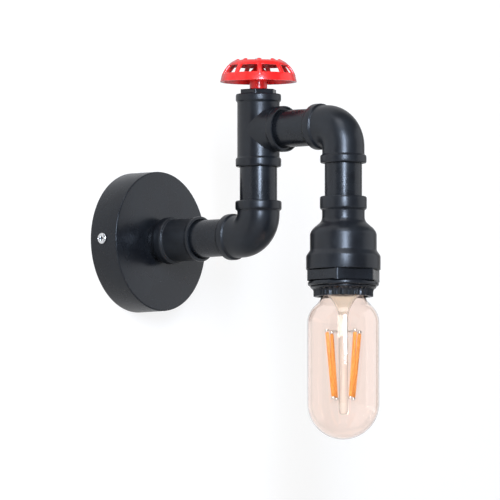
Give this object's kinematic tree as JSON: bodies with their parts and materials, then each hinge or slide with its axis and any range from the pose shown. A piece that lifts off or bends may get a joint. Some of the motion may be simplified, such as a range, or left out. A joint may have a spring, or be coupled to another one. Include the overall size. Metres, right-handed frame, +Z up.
{
  "type": "industrial pipe wall light",
  "caption": "Wall light built from black threaded pipe and fittings, with a red tap handwheel on the tee and a downward clear filament bulb in a bell-shaped holder.",
  "frame": {"origin": "middle of the canopy's open back, on the wall plane", "axes": "+Z up, +Y into the wall, +X to the right of someone facing the wall"},
  "size_m": [0.0906, 0.1941, 0.242],
  "materials": {
    "black_coat": "satin powder coat",
    "red_paint": "gloss enamel",
    "zinc_steel": "zinc plated",
    "chrome_steel": "bright plated",
    "brass": "plain",
    "nickel": "nickel plated",
    "moulded_white": "matt",
    "moulded_black": "matt",
    "seal_rubber": "matt",
    "clear_glass": "polished, faint amber",
    "stem_glass": "polished",
    "phosphor": "matt",
    "cap_alloy": "drawn"
  },
  "bodies": {
    "light": {"wall_bracket": "zinc_steel", "canopy": "black_coat", "canopy_screws": "chrome_steel", "earth_washer": "zinc_steel", "earth_screw": "brass", "terminal_block": "moulded_white", "terminal_barrels": "brass", "terminal_screws": "zinc_steel", "canopy_stem": "zinc_steel", "stem_washer": "zinc_steel", "stem_nut": "zinc_steel", "canopy_collar": "black_coat", "wall_coupling": "black_coat", "wall_nipple": "black_coat", "riser_pipe": "black_coat", "branch_nipple": "black_coat", "drop_pipe": "black_coat", "lower_elbow": "black_coat", "upper_elbow": "black_coat", "tee": "black_coat", "hex_plug": "black_coat", "gland_ring": "seal_rubber", "bell_reducer": "black_coat", "hex_bush": "black_coat", "lampholder_body": "black_coat", "holder_liner": "moulded_black", "holder_screws": "brass", "screw_shell": "nickel", "centre_contact": "brass"},
    "wheel": {"valve_spindle": "zinc_steel", "spindle_clip": "zinc_steel", "handwheel": "red_paint", "wheel_washer": "zinc_steel", "wheel_screw": "zinc_steel"},
    "ring": {"fluted_ring": "black_coat"},
    "bulb": {"bulb_cap": "cap_alloy", "cap_insulator": "moulded_black", "bulb_contact": "nickel", "bulb_glass": "clear_glass", "bulb_stem": "stem_glass", "filaments": "phosphor", "filament_wires": "nickel"}
  },
  "joints": [
    {"name": "wheel_spin", "type": "hinge", "parent": "light", "child": "wheel", "pos_m": [0, -0.1005, 0.0658], "axis": [0, 0, 1], "continuous": true},
    {"name": "ring_turn", "type": "hinge", "parent": "light", "child": "ring", "pos_m": [0, -0.1699, 0], "axis": [0, 0, 1], "range_deg": [0, 360]},
    {"name": "bulb_withdraw", "type": "slide", "parent": "light", "child": "bulb", "axis": [0, 0, -1], "range_m": [0, 0.032]}
  ]
}
